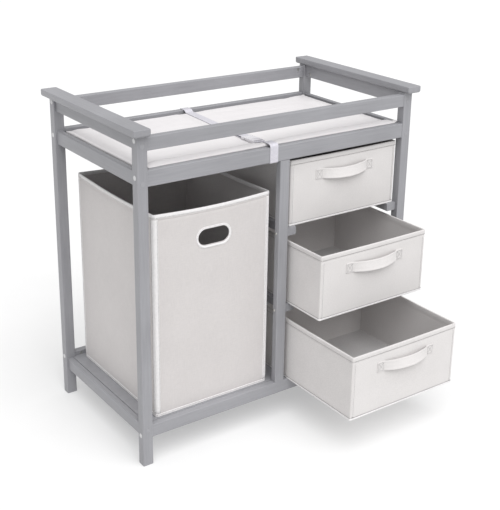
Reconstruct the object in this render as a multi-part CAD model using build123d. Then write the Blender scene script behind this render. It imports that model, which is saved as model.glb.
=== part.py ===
"""Changing table: a bolted timber frame with a padded top, three fabric drawers and a laundry hamper.

Millimetres. X runs to the right, Y to the back, Z up. The origin is on the floor, at the centre of the
rectangle that the four corner posts stand on. The middle and bottom drawers are stored partly pulled out.
"""
from build123d import *
import os

os.makedirs("parts", exist_ok=True)

# ---- driving dimensions of the frame -------------------------------------------------------------
WIDTH = 906.0  # across the outer faces of the corner posts
DEPTH = 492.0
HEIGHT = 940.0  # floor to the top of the end caps
POST_X = 30.0
POST_Y = 26.0
CAP_T = 20.0
CAP_OUT = 16.0  # overhang of a cap past the posts' outer side face
CAP_IN = 1.6  # overhang past their inner side face
CAP_FRONT = 17.0
CAP_BACK = 20.0
RAIL_T = 20.0  # thickness of the long front and back rails
RAIL_RECESS = 1.7  # their setback from the post faces
END_T = 16.0  # thickness of the end rails
END_RECESS = 6.7
EDGE_R = 2.0  # eased long edges of all the timber

UPPER_RAIL = (880.0, 915.0)  # bottom and top heights of each rail
LOWER_RAIL = (788.0, 830.0)
BOTTOM_RAIL = (82.0, 118.0)
BACK_BOTTOM_RAIL = (96.0, 132.0)
END_UPPER = (882.0, HEIGHT - CAP_T)
END_LOWER = (788.0, 826.0)
MID_POST_X = 31.5

PLATFORM = (794.0, 800.0)  # panel under the changing pad, held in grooves of the lower rails
GROOVE = 4.5
SHELF_T = 12.0
CLEAT = (15.0, 12.0)  # depth and height of the cleats under the shelf

RUNNER_W = 33.0
RUNNER_H = 24.0
RUNNER_SETBACK = 9.0  # runner's front end behind the posts' front face

# ---- fasteners -----------------------------------------------------------------------------------
BOLT_R = 3.0
BOLT_HOLE_R = 3.2
HEAD_R = 6.0
HEAD_H = 4.0
SEAT_DEPTH = 7.0  # counterbore that hides each bolt head
SEAT_R = 6.5
COVER_PROUD = 0.6
BOLT_IN_RAIL = 27.0
NUT_R = 5.0
NUT_IN_RAIL = 22.0
DOWEL_R = 3.0
DOWEL_IN_POST = 9.0
DOWEL_IN_RAIL = 14.0
CAP_DOWEL = 8.0  # length of a cap dowel inside the post
CAP_DOWEL_UP = 12.0  # and inside the cap
MID_DOWEL_X = 8.0  # dowels of the middle posts, either side of their centre line
MID_DOWEL_L = 12.0
CLEAR = 0.1  # radial clearance round nuts, dowels and screws
SCREW_R = 2.0
SCREW_HEAD_R = 4.0
RUNNER_SCREW_L = 48.0
CLEAT_SCREW_X = (-300.0, 0.0, 300.0)
CLEAT_SCREW_L = 26.0
STRAP_SCREW_L = 16.0
STRAP_SCREW_Z = 807.0  # on the back rail's outer face

# ---- soft goods ----------------------------------------------------------------------------------
DRAWER_W = 386.0
DRAWER_D = 400.0
DRAWER_H = 190.0
DRAWER_LEFT = 29.0
DRAWER_FRONT = -231.0  # front wall of a closed drawer
DRAWER_WALL = 3.5
DRAWER_OUT = {"top": 0.0, "middle": 146.0, "bottom": 293.0}  # how far each is pulled out as stored
BINDING_H = 6.0
BINDING_T = 0.8
BOARD_T = 3.0
HANDLE_SPAN = 209.0
HANDLE_H = 30.0
HANDLE_PATCH = 25.0
HANDLE_T = 2.5
HANDLE_BOW = 15.0
HANDLE_DROP = 54.0  # handle's centre below the drawer's rim

HAMPER_X = (-396.0, -29.0)
HAMPER_Y = (-219.0, 210.0)
HAMPER_H = 582.0
HAMPER_WALL = 3.0
GRIP_W = 100.0  # hand hole through the hamper's front wall
GRIP_H = 50.0
GRIP_Z = 612.0
GRIP_RIM = 6.0
HAMPER_R = 8.0  # upright corners
TRIM_T = 0.8  # thickness of the bindings and tapes
RIM_BAND = 10.0
FOOT_BAND = 9.0
CORNER_BAND = 13.0

PAD_HALF_X = 421.5
PAD_TOP = 824.0
PAD_ROLL = 838.0  # raised roll along the front edge
STRAP_X = -39.0  # at the buckle and in front of it
STRAP_SKEW = 0.06  # sideways drift of the back strap per millimetre towards the back rail
STRAP_W = 27.0
STRAP_T = 1.6
STRAP_GAP = 0.3  # to what the strap lies on
STRAP_END_Z = 800.0  # cut end of the strap on the back rail
BUCKLE_BAR_BACK = -116.8
BUCKLE_BAR_FRONT = -176.0
BUCKLE_MOUTH = -151.0  # where the plug meets the socket
BUCKLE_HALF = 17.0
BUCKLE_H = 9.0
BUCKLE_WALL = 2.0
LOOP_RISE = 5.6  # between the two layers of a strap folded round a bar
LOOP_TURN = 2.8  # middle of the fold beyond the bar
BAR_R = 1.5

# ---- derived places ------------------------------------------------------------------------------
X_OUT = WIDTH / 2
X_IN = X_OUT - POST_X
Y_OUT = DEPTH / 2
Y_IN = Y_OUT - POST_Y
RAIL_Y = Y_OUT - RAIL_RECESS  # outer face of the long rails
RAIL_Y_IN = RAIL_Y - RAIL_T
END_X = X_OUT - END_RECESS  # outer face of the end rails
END_X_IN = END_X - END_T
BOLT_Y = Y_OUT - POST_Y / 2  # bolts into the long rails run along X at this depth
BOLT_X = X_OUT - POST_X / 2  # bolts into the end rails run along Y at this place
SHELF_TOP = BOTTOM_RAIL[1]
MID_X = MID_POST_X / 2
DRAWER_Z = {"top": 588.0, "middle": 356.5, "bottom": SHELF_TOP}
RUNNER_TOPS = (DRAWER_Z["top"], DRAWER_Z["middle"])
RUNNER_SCREW_Z = [top - RUNNER_H / 2 for top in RUNNER_TOPS]
RUNNER_SCREW_Y = BOLT_Y - 1

STRAP_LIFT = STRAP_GAP + STRAP_T / 2  # strap's middle above what it lies on
STRAP_Z = PAD_TOP + STRAP_LIFT
STRAP_BACK_X = STRAP_X + STRAP_SKEW * (RAIL_Y - BUCKLE_BAR_BACK)  # its centre on the back rail
LOOP_Z = STRAP_Z + LOOP_RISE
BAR_Z = STRAP_Z + LOOP_RISE / 2
BUCKLE_Z = (PAD_TOP + STRAP_GAP, PAD_TOP + STRAP_GAP + BUCKLE_H)

SIDES = (-1, 1)

# Heights of the bolt and the dowel in each joint of a corner post: the long rails' fasteners run along X
# and the end rails' along Y, so the two sets are staggered to pass each other inside the post.
LONG_JOINTS = {"upper": (907.0, 889.0), "lower": (813.0, 797.5), "bottom": (90.0, 107.0)}
BACK_BOTTOM_JOINT = (123.0, 105.0)
END_JOINTS = {"upper": (893.0, 911.0), "lower": (798.0, 814.0), "bottom": (107.0, 91.0)}


def bar(x0, x1, y0, y1, z0, z1):
    """A square-edged block between two corners."""
    centre = ((x0 + x1) / 2, (y0 + y1) / 2, (z0 + z1) / 2)
    return Pos(*centre) * Box(abs(x1 - x0), abs(y1 - y0), abs(z1 - z0))


def eased(block, axis, radius=EDGE_R):
    """The block with its edges along one axis rounded over."""
    return fillet(block.edges().filter_by(axis), radius)


def rod(start, direction, length, radius):
    """A cylinder from a point along a direction."""
    return Solid.make_cylinder(radius, length, Plane(origin=start, z_dir=direction))


def save(name, *solids):
    """Write one node; several solids stay separate inside it."""
    shape = solids[0] if len(solids) == 1 else Compound(children=list(solids))
    shape.label = name
    export_step(shape, f"parts/{name}.step")


def single(shape):
    """The one solid of a boolean result."""
    return shape.solids()[0]


# ---- joints: one row per bolted corner joint ------------------------------------------------------
def corner_joints():
    """Every corner joint: post signs, axis letter, bolt height and dowel height."""
    rows = []
    for sx in SIDES:
        for sy in SIDES:
            for level, heights in LONG_JOINTS.items():
                back_bottom = level == "bottom" and sy > 0
                rows.append((sx, sy, "X", BACK_BOTTOM_JOINT if back_bottom else heights))
            for heights in END_JOINTS.values():
                rows.append((sx, sy, "Y", heights))
    return rows


def joint_frame(sx, sy, axis, z):
    """Outer face point, inner face point and inward direction of a fastener line at height z."""
    if axis == "X":
        return Vector(sx * X_OUT, sy * BOLT_Y, z), Vector(sx * X_IN, sy * BOLT_Y, z), Vector(-sx, 0, 0)
    return Vector(sx * BOLT_X, sy * Y_OUT, z), Vector(sx * BOLT_X, sy * Y_IN, z), Vector(0, -sy, 0)


def nut_line(sx, sy, axis, z):
    """Mouth and direction of the cross hole for a barrel nut, drilled from the rail's inner face."""
    if axis == "X":
        return Vector(sx * (X_IN - NUT_IN_RAIL), sy * RAIL_Y_IN, z), Vector(0, sy, 0), RAIL_T - 4
    return Vector(sx * END_X_IN, sy * (Y_IN - NUT_IN_RAIL), z), Vector(sx, 0, 0), END_T - 3


def rail_drillings(sx, sy, axis, heights):
    """What is drilled out of a rail's end: bolt hole, cross hole and dowel hole."""
    bolt_z, dowel_z = heights
    _, inner, inward = joint_frame(sx, sy, axis, bolt_z)
    mouth, cross, depth = nut_line(sx, sy, axis, bolt_z)
    _, dowel_inner, _ = joint_frame(sx, sy, axis, dowel_z)
    return [
        rod(inner, inward, BOLT_IN_RAIL + 3, BOLT_HOLE_R),
        rod(mouth, cross, depth, NUT_R + CLEAR),
        rod(dowel_inner, inward, DOWEL_IN_RAIL + 1, DOWEL_R + CLEAR),
    ]


def post_drillings(sx, sy):
    """Bolt holes with counterbores and dowel holes in one corner post."""
    cuts = []
    for jx, jy, axis, (bolt_z, dowel_z) in corner_joints():
        if (jx, jy) != (sx, sy):
            continue
        outer, _, inward = joint_frame(sx, sy, axis, bolt_z)
        cuts.append(rod(outer, inward, POST_X, BOLT_HOLE_R))
        cuts.append(rod(outer, inward, SEAT_DEPTH, SEAT_R))
        _, inner, _ = joint_frame(sx, sy, axis, dowel_z)
        cuts.append(rod(inner, -inward, DOWEL_IN_POST + 0.5, DOWEL_R + CLEAR))
    cuts.append(rod((sx * BOLT_X, sy * BOLT_Y, END_UPPER[1]), (0, 0, -1), CAP_DOWEL + 0.3, DOWEL_R + CLEAR))
    if sx > 0:
        cuts += [screw_hole(X_OUT, sy, z, -1) for z in RUNNER_SCREW_Z]
    return cuts


# ---- timber --------------------------------------------------------------------------------------
def screw_hole(x, sy, z, direction, depth=RUNNER_SCREW_L):
    """Clearance hole of a runner screw that enters at x."""
    return rod((x, sy * RUNNER_SCREW_Y, z), (direction, 0, 0), depth, SCREW_R + CLEAR)


def post(sx, sy):
    """A corner post with its drillings; the foot's edges are eased."""
    block = bar(sx * X_OUT, sx * X_IN, sy * Y_OUT, sy * Y_IN, 0, END_UPPER[1])
    block = eased(block, Axis.Z)
    foot = block.faces().sort_by(Axis.Z)[0]
    block = chamfer(foot.edges(), 1.0)
    return single(block - post_drillings(sx, sy))


def cap(sx):
    """An end cap: soft lower corners, a small round on top, and dowel holes beneath."""
    outer, inner = sx * (X_OUT + CAP_OUT), sx * (X_IN - CAP_IN)
    block = bar(outer, inner, -Y_OUT - CAP_FRONT, Y_OUT + CAP_BACK, HEIGHT - CAP_T, HEIGHT)
    block = fillet(block.edges().filter_by(Axis.Z), 3.0)
    bottom = block.faces().sort_by(Axis.Z)[0]
    block = fillet(bottom.edges(), 6.5)
    top = block.faces().sort_by(Axis.Z)[-1]
    block = fillet(top.edges(), 2.5)
    holes = [
        rod((sx * BOLT_X, sy * BOLT_Y, HEIGHT - CAP_T), (0, 0, 1), CAP_DOWEL_UP + 0.3, DOWEL_R + CLEAR)
        for sy in SIDES
    ]
    return single(block - holes)


def long_rail(sy, heights, joint, grooved=False):
    """A front or back rail between the corner posts."""
    block = bar(-X_IN, X_IN, sy * RAIL_Y, sy * RAIL_Y_IN, *heights)
    block = eased(block, Axis.X)
    cuts = []
    for sx in SIDES:
        cuts += rail_drillings(sx, sy, "X", joint)
    if grooved:
        cuts.append(bar(-X_IN, X_IN, sy * RAIL_Y_IN, sy * (RAIL_Y_IN + GROOVE), *PLATFORM))
    cuts += middle_post_dowel_holes(sy, heights)
    return single(block - cuts)


def end_rail(sx, heights, joint):
    """A side rail between the front and back posts."""
    block = bar(sx * END_X, sx * END_X_IN, -Y_IN, Y_IN, *heights)
    block = eased(block, Axis.Y)
    cuts = []
    for sy in SIDES:
        cuts += rail_drillings(sx, sy, "Y", joint)
    return single(block - cuts)


def middle_dowel_lines(sy):
    """Start point and length of the dowels at the two ends of a middle post."""
    low = (BOTTOM_RAIL if sy < 0 else BACK_BOTTOM_RAIL)[1]
    y = sy * (RAIL_Y - RAIL_T / 2)
    return [(side * MID_DOWEL_X, y, z - MID_DOWEL_L) for side in SIDES for z in (low, LOWER_RAIL[0])]


def middle_post_dowel_holes(sy, heights):
    """The halves of those dowel holes that fall inside a rail."""
    return [
        rod((x, y, z - 0.3), (0, 0, 1), 2 * MID_DOWEL_L + 0.6, DOWEL_R + CLEAR)
        for x, y, z in middle_dowel_lines(sy)
        if heights[0] < z + 1.5 * MID_DOWEL_L < heights[1] or heights[0] < z < heights[1]
    ]


def middle_post(sy):
    """The divider between the hamper's bay and the drawers' bay."""
    low = (BOTTOM_RAIL if sy < 0 else BACK_BOTTOM_RAIL)[1]
    block = bar(-MID_X, MID_X, sy * RAIL_Y, sy * RAIL_Y_IN, low, LOWER_RAIL[0])
    block = eased(block, Axis.Z)
    cuts = [
        rod((x, y, z - 0.3), (0, 0, 1), 2 * MID_DOWEL_L + 0.6, DOWEL_R + CLEAR)
        for x, y, z in middle_dowel_lines(sy)
    ]
    cuts += [screw_hole(-MID_X, sy, z, 1) for z in RUNNER_SCREW_Z]
    return single(block - cuts)


def notched_panel(half_y, z0, z1):
    """A flat panel between the end rails, with its corners cut out round the posts."""
    half_x = END_X_IN - 0.5
    notch_x, notch_y = X_IN - 0.5, Y_IN - 0.5
    panel = bar(-half_x, half_x, -half_y, half_y, z0, z1)
    notches = [
        bar(sx * notch_x, sx * (half_x + 1), sy * notch_y, sy * (half_y + 1), z0 - 1, z1 + 1)
        for sx in SIDES
        for sy in SIDES
    ]
    return single(panel - notches)


def shelf_cleat(sy):
    """A strip screwed to a bottom rail, under the shelf."""
    depth, height = CLEAT
    top = SHELF_TOP - SHELF_T
    strip = bar(-X_IN + 30, X_IN - 30, sy * RAIL_Y_IN, sy * (RAIL_Y_IN - depth), top - height, top)
    holes = [cleat_screw_line(sy, x) for x in CLEAT_SCREW_X]
    return single(strip - [rod(start, way, depth + 1, SCREW_R + CLEAR) for start, way in holes])


def cleat_screw_line(sy, x):
    """Where a cleat screw's head sits and the way it points."""
    depth, height = CLEAT
    z = SHELF_TOP - SHELF_T - height / 2
    return (x, sy * (RAIL_Y_IN - depth), z), (0, sy, 0)


def runner(side, top):
    """A drawer runner, screwed through a post at each end."""
    x0, x1 = (MID_X, MID_X + RUNNER_W) if side == "left" else (X_IN - RUNNER_W, X_IN)
    front = Y_OUT - RUNNER_SETBACK
    block = eased(bar(x0, x1, -front, front, top - RUNNER_H, top), Axis.Y)
    enter, way = (-MID_X, 1) if side == "left" else (X_OUT, -1)
    return single(block - [screw_hole(enter, sy, top - RUNNER_H / 2, way) for sy in SIDES])


# ---- hardware ------------------------------------------------------------------------------------
def connector_bolt(sx, sy, axis, z):
    """A socket-head bolt seated in its counterbore, reaching through the barrel nut."""
    outer, inner, inward = joint_frame(sx, sy, axis, z)
    seat = outer + inward * SEAT_DEPTH
    shank = (inner - seat).length + BOLT_IN_RAIL
    head = rod(seat - inward * HEAD_H, inward, HEAD_H, HEAD_R)
    bolt = head + rod(seat, inward, shank, BOLT_R - 0.05)
    socket = Plane(origin=seat - inward * HEAD_H, z_dir=inward) * RegularPolygon(2.5, 6)
    return single(bolt - extrude(socket, 2.5))


def barrel_nut(sx, sy, axis, z):
    """A cross dowel with its threaded hole along the bolt."""
    mouth, cross, depth = nut_line(sx, sy, axis, z)
    _, _, inward = joint_frame(sx, sy, axis, z)
    body = rod(mouth + cross * 0.5, cross, depth - 1.0, NUT_R)
    offset = (joint_frame(sx, sy, axis, z)[1] - mouth).dot(cross)
    through = mouth + cross * offset - inward * (2 * NUT_R)
    return single(body - rod(through, inward, 4 * NUT_R, BOLT_R))


def joint_dowel(sx, sy, axis, z):
    """A beech dowel across one corner joint."""
    _, inner, inward = joint_frame(sx, sy, axis, z)
    return rod(inner - inward * DOWEL_IN_POST, inward, DOWEL_IN_POST + DOWEL_IN_RAIL, DOWEL_R)


def bolt_cover(sx, sy, axis, z):
    """A press-in disc that closes a counterbore, slightly proud of the post."""
    outer, _, inward = joint_frame(sx, sy, axis, z)
    disc = rod(outer - inward * COVER_PROUD, inward, COVER_PROUD + 2.0, SEAT_R - CLEAR)
    rim = disc.edges().filter_by(GeomType.CIRCLE).sort_by(lambda edge: (edge.center() - outer).dot(inward))
    return fillet([rim[0]], 0.5).solids()[0]


def wood_screw(start, way, length):
    """A pan-head screw whose head bears on the surface at start."""
    way = Vector(*way)
    head = rod(Vector(*start) - way * 2.2, way, 2.2, SCREW_HEAD_R)
    rim = head.edges().filter_by(GeomType.CIRCLE).sort_by(lambda edge: (edge.center() - start).dot(way))
    head = fillet([rim[0]], 1.2).solids()[0]
    return single(head + rod(start, way, length - 2.0, SCREW_R))


# ---- changing pad and safety strap ---------------------------------------------------------------
def changing_pad():
    """A thin pad on the platform, with a raised roll that lies over the front rail."""
    gap = 0.3
    back = RAIL_Y_IN - 2
    with BuildPart() as pad:
        with BuildSketch(Plane.YZ):
            with BuildLine():
                Polyline(
                    (-back, PLATFORM[1] + gap),
                    (back, PLATFORM[1] + gap),
                    (back, PAD_TOP - 2),
                    (back - 12, PAD_TOP),
                    (-back + 40, PAD_TOP),
                    (-back + 8, PAD_ROLL),
                    (-RAIL_Y + 6, PAD_ROLL),
                    (-RAIL_Y + 1, PAD_ROLL - 4),
                    (-RAIL_Y + 1, LOWER_RAIL[1] + gap),
                    (-back, LOWER_RAIL[1] + gap),
                    close=True,
                )
            make_face()
        extrude(amount=PAD_HALF_X, both=True)
    return pad.part.solids()[0]


def ribbon(points, radii, skew=0.0):
    """Webbing of constant thickness that follows (y, z) points; skew carries it sideways."""
    stretch = (1 + skew**2) ** 0.5
    start = Vector(STRAP_X - STRAP_W / 2, BUCKLE_BAR_BACK, 0)
    along = Vector(skew, 1, 0)
    with BuildPart() as band:
        with BuildSketch(Plane(origin=start, x_dir=along, z_dir=Vector(1, -skew, 0))):
            with BuildLine():
                FilletPolyline(*[((y - BUCKLE_BAR_BACK) * stretch, z) for y, z in points], radius=radii)
            trace(line_width=STRAP_T)
        extrude(amount=STRAP_W, dir=(1, 0, 0))
    return band.part.solids()[0]


def strap_hole(y, z, way):
    """Screw hole through a strap's end and on into the rail."""
    x = STRAP_BACK_X if y > 0 else STRAP_X
    return rod((x, y, z), way, STRAP_SCREW_L, SCREW_R + CLEAR)


def strap_back():
    """From the back rail over the pad to the buckle's socket, folded back with a loose tail."""
    rail = RAIL_Y + STRAP_LIFT
    top = LOWER_RAIL[1] + STRAP_LIFT
    turn = BUCKLE_BAR_BACK - LOOP_TURN
    points = [
        (rail, STRAP_END_Z),
        (rail, top),
        (RAIL_Y_IN - 5, top),
        (RAIL_Y_IN - 15, STRAP_Z),
        (turn, STRAP_Z),
        (turn, LOOP_Z),
        (turn + 38, LOOP_Z - 1.5),
    ]
    band = ribbon(points, [2.2, 2, 2, 2.6, 2.6], STRAP_SKEW)
    return single(band - strap_hole(RAIL_Y + 5, STRAP_SCREW_Z, (0, -1, 0)))


def strap_front():
    """From the buckle's plug over the pad's roll, down the front rail and under it."""
    face = -RAIL_Y - STRAP_LIFT
    under = LOWER_RAIL[0] - STRAP_LIFT
    over = PAD_ROLL + STRAP_LIFT + 0.4
    turn = BUCKLE_BAR_FRONT + LOOP_TURN
    points = [
        (turn - 10, LOOP_Z),
        (turn, LOOP_Z),
        (turn, STRAP_Z),
        (-RAIL_Y_IN + 44.3, STRAP_Z),
        (-RAIL_Y_IN + 11.8, over),
        (-RAIL_Y + 5, over),
        (face, PAD_ROLL - 3),
        (face, under),
        (-RAIL_Y_IN - 3, under),
    ]
    band = ribbon(points, [2.6, 2.6, 4, 4, 3, 3, 1.6])
    return single(band - strap_hole(-BOLT_Y, under - 3, (0, 0, 1)))


def webbing_bar(y):
    """A buckle's cross bar, inside the webbing's fold."""
    return rod((STRAP_X - BUCKLE_HALF + 1, y, BAR_Z), (1, 0, 0), 2 * BUCKLE_HALF - 2, BAR_R)


def buckle_arms(y0, y1):
    """The two side arms that carry a cross bar."""
    low, high = BUCKLE_Z[0] + 1, BUCKLE_Z[1] - 1.5
    return [bar(STRAP_X + side * 14.0, STRAP_X + side * BUCKLE_HALF, y0, y1, low, high) for side in SIDES]


def buckle_block(y0, y1):
    """A slab as wide and high as the buckle, with soft long edges."""
    block = bar(STRAP_X - BUCKLE_HALF, STRAP_X + BUCKLE_HALF, y0, y1, *BUCKLE_Z)
    return fillet(block.edges().filter_by(Axis.Y), 2.5)


def buckle_socket():
    """Female half: a flat sleeve with side windows for the plug's prongs."""
    back = BUCKLE_BAR_BACK - 5
    low, high = BUCKLE_Z[0] + BUCKLE_WALL, BUCKLE_Z[1] - BUCKLE_WALL
    half = BUCKLE_HALF - BUCKLE_WALL
    shell = buckle_block(BUCKLE_MOUTH, back)
    shell -= bar(STRAP_X - half, STRAP_X + half, BUCKLE_MOUTH - 1, back - 4, low, high)
    for side in SIDES:
        window = (STRAP_X + side * 13, STRAP_X + side * (BUCKLE_HALF + 1))
        shell -= bar(*window, BUCKLE_MOUTH + 9, back - 7, low, high)
    arms = buckle_arms(back - 1, BUCKLE_BAR_BACK + 2)
    return single(shell + arms + webbing_bar(BUCKLE_BAR_BACK))


def buckle_plug():
    """Male half: a base with a middle guide and two sprung prongs inside the socket."""
    z0, z1 = BUCKLE_Z[0] + BUCKLE_WALL + 0.2, BUCKLE_Z[1] - BUCKLE_WALL - 0.2
    back = BUCKLE_MOUTH - 0.2
    dish = (STRAP_X - BUCKLE_HALF + 4, STRAP_X + BUCKLE_HALF - 4)
    base = buckle_block(back - 20, back) - bar(*dish, back - 15, back - 5, BUCKLE_Z[1] - 1.5, BUCKLE_Z[1] + 1)
    guide = bar(STRAP_X - 2, STRAP_X + 2, back - 1, back + 20, z0, z1)
    prongs = []
    for side in SIDES:
        for outer, y0, y1 in ((12.0, back - 1, back + 12), (16.5, back + 10, back + 20)):
            prongs.append(bar(STRAP_X + side * 9, STRAP_X + side * outer, y0, y1, z0, z1))
    arms = buckle_arms(back - 19, BUCKLE_BAR_FRONT - 2)
    return single(base + guide + prongs + arms + webbing_bar(BUCKLE_BAR_FRONT))


# ---- fabric drawers ------------------------------------------------------------------------------
def sleeve(x, y, z, outset, inset, radius=4.0):
    """A rectangular band round a fabric box: outset beyond and inset within the given outline."""
    outer = bar(x[0] - outset, x[1] + outset, y[0] - outset, y[1] + outset, *z)
    outer = fillet(outer.edges().filter_by(Axis.Z), radius + outset)
    inner = bar(x[0] + inset, x[1] - inset, y[0] + inset, y[1] - inset, z[0] - 1, z[1] + 1)
    inner = fillet(inner.edges().filter_by(Axis.Z), max(radius - inset, 0.6))
    return single(outer - inner)


def open_box(x, y, z, wall, radius=4.0):
    """A fabric-covered box with no lid and a softly rounded rim."""
    outer = fillet(bar(*x, *y, *z).edges().filter_by(Axis.Z), radius)
    inner = bar(x[0] + wall, x[1] - wall, y[0] + wall, y[1] - wall, z[0] + wall, z[1] + 1)
    inner = fillet(inner.edges().filter_by(Axis.Z), max(radius - wall, 1.0))
    box = outer - inner
    rim = box.faces().sort_by(Axis.Z)[-1]
    return single(fillet(rim.edges(), 1.0))


class Drawer:
    """Outline of one drawer as stored: its fabric faces lie inside the bottom binding."""

    def __init__(self, name):
        front = DRAWER_FRONT - DRAWER_OUT[name]
        floor = DRAWER_Z[name]
        self.x = (DRAWER_LEFT + BINDING_T, DRAWER_LEFT + DRAWER_W - BINDING_T)
        self.y = (front + BINDING_T, front + DRAWER_D - BINDING_T)
        self.z = (floor, floor + DRAWER_H)

    def bin(self):
        """Fabric over stiffening board, open at the top."""
        return open_box(self.x, self.y, self.z, DRAWER_WALL)

    def binding(self):
        """Tape sewn round the bottom edge."""
        return sleeve(self.x, self.y, (self.z[0], self.z[0] + BINDING_H), BINDING_T, 0)

    def base_board(self):
        """Loose stiffening board that lies on the drawer's floor."""
        gap = DRAWER_WALL + 1
        low = self.z[0] + DRAWER_WALL
        return bar(self.x[0] + gap, self.x[1] - gap, self.y[0] + gap, self.y[1] - gap, low, low + BOARD_T)

    def handle(self):
        """A fabric strap sewn down at both ends, bowed out in the middle for the fingers."""
        half = HANDLE_SPAN / 2
        bow = half - HANDLE_PATCH
        middle = (self.x[0] + self.x[1]) / 2
        centre = self.z[1] - HANDLE_DROP
        with BuildPart() as strap:
            with BuildSketch(Plane((middle, self.y[0], centre - HANDLE_H / 2))):
                with BuildLine():
                    Polyline((-bow, 0), (-half, 0), (-half, -HANDLE_T), (-bow, -HANDLE_T))
                    ThreePointArc((-bow, -HANDLE_T), (0, -HANDLE_BOW), (bow, -HANDLE_T))
                    Polyline((bow, -HANDLE_T), (half, -HANDLE_T), (half, 0), (bow, 0))
                    ThreePointArc((bow, 0), (0, HANDLE_T - HANDLE_BOW), (-bow, 0))
                make_face()
            extrude(amount=HANDLE_H)
        return strap.part.solids()[0]


# ---- laundry hamper ------------------------------------------------------------------------------
HAMPER_Z = (SHELF_TOP, SHELF_TOP + HAMPER_H - TRIM_T)
HAMPER_BODY_X = (HAMPER_X[0] + TRIM_T, HAMPER_X[1] - TRIM_T)
HAMPER_BODY_Y = (HAMPER_Y[0] + TRIM_T, HAMPER_Y[1] - TRIM_T)


def grip_prism(width, height, y0, y1):
    """A stadium-ended block along Y at the height of the hand hole."""
    centre = (HAMPER_X[0] + HAMPER_X[1]) / 2
    plane = Plane(origin=(centre, y0, GRIP_Z), x_dir=(1, 0, 0), z_dir=(0, 1, 0))
    return extrude(plane * SlotOverall(width, height), y1 - y0)


def hamper_body():
    """Tall fabric box with a hand hole in the front wall."""
    box = open_box(HAMPER_BODY_X, HAMPER_BODY_Y, HAMPER_Z, HAMPER_WALL, HAMPER_R)
    return single(box - grip_prism(GRIP_W, GRIP_H, HAMPER_Y[0] - 5, HAMPER_Y[0] + 2 * HAMPER_WALL))


def hamper_grip():
    """Binding round the hand hole: a flange on each face of the wall, joined through the hole."""
    wall = HAMPER_BODY_Y[0]
    y0, y1 = wall - TRIM_T, wall + HAMPER_WALL + TRIM_T
    flange = (GRIP_W + 2 * GRIP_RIM, GRIP_H + 2 * GRIP_RIM)
    faces = grip_prism(*flange, y0, wall) + grip_prism(*flange, wall + HAMPER_WALL, y1)
    lining = grip_prism(GRIP_W - 0.2, GRIP_H - 0.2, y0, y1)
    return single(faces + lining - grip_prism(GRIP_W - 3, GRIP_H - 3, y0 - 1, y1 + 1))


def hamper_rim():
    """Binding folded over the top edge of the walls."""
    top = HAMPER_Z[1]
    band = sleeve(
        HAMPER_BODY_X, HAMPER_BODY_Y, (top - RIM_BAND, top + TRIM_T), TRIM_T, HAMPER_WALL + TRIM_T, HAMPER_R
    )
    wall = sleeve(HAMPER_BODY_X, HAMPER_BODY_Y, (top - RIM_BAND - 1, top), 0, HAMPER_WALL, HAMPER_R)
    return single(band - wall)


def hamper_hem():
    """Band sewn round the foot of the hamper."""
    return sleeve(HAMPER_BODY_X, HAMPER_BODY_Y, (SHELF_TOP, SHELF_TOP + FOOT_BAND), TRIM_T, 0, HAMPER_R)


def hamper_corners():
    """Four strips of tape over the upright edges, between the hem and the rim."""
    low, high = SHELF_TOP + FOOT_BAND, HAMPER_Z[1] - RIM_BAND
    tape = sleeve(HAMPER_BODY_X, HAMPER_BODY_Y, (low, high), TRIM_T, 0, HAMPER_R)
    strips = []
    for x in HAMPER_X:
        for y in HAMPER_Y:
            zone = Pos(x, y, (low + high) / 2) * Box(2 * CORNER_BAND, 2 * CORNER_BAND, high - low)
            strips.append(single(tape & zone))
    return strips


def hamper_board():
    """Stiffening board that lies on the hamper's floor."""
    gap = HAMPER_WALL + 1.5
    low = SHELF_TOP + HAMPER_WALL
    x, y = HAMPER_BODY_X, HAMPER_BODY_Y
    return bar(x[0] + gap, x[1] - gap, y[0] + gap, y[1] - gap, low, low + BOARD_T)


# ---- the whole table -----------------------------------------------------------------------------
SIDE_NAMES = {-1: "left", 1: "right"}
FACE_NAMES = {-1: "front", 1: "back"}

for sx, side in SIDE_NAMES.items():
    for sy, face in FACE_NAMES.items():
        save(f"post_{face}_{side}", post(sx, sy))
    save(f"cap_{side}", cap(sx))
    save(f"end_rail_upper_{side}", end_rail(sx, END_UPPER, END_JOINTS["upper"]))
    save(f"end_rail_lower_{side}", end_rail(sx, END_LOWER, END_JOINTS["lower"]))
    save(f"end_rail_bottom_{side}", end_rail(sx, BOTTOM_RAIL, END_JOINTS["bottom"]))

for sy, face in FACE_NAMES.items():
    save(f"rail_upper_{face}", long_rail(sy, UPPER_RAIL, LONG_JOINTS["upper"]))
    lower = long_rail(sy, LOWER_RAIL, LONG_JOINTS["lower"], grooved=True)
    if sy < 0:
        lower = single(lower - strap_hole(-BOLT_Y, LOWER_RAIL[0] - 1, (0, 0, 1)))
        bottom = long_rail(sy, BOTTOM_RAIL, LONG_JOINTS["bottom"])
    else:
        lower = single(lower - strap_hole(RAIL_Y + 1, STRAP_SCREW_Z, (0, -1, 0)))
        bottom = long_rail(sy, BACK_BOTTOM_RAIL, BACK_BOTTOM_JOINT)
    cleat_holes = [rod(*cleat_screw_line(sy, x), CLEAT_SCREW_L + 1, SCREW_R + CLEAR) for x in CLEAT_SCREW_X]
    save(f"rail_lower_{face}", lower)
    save(f"rail_bottom_{face}", single(bottom - cleat_holes))
    save(f"middle_post_{face}", middle_post(sy))

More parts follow.
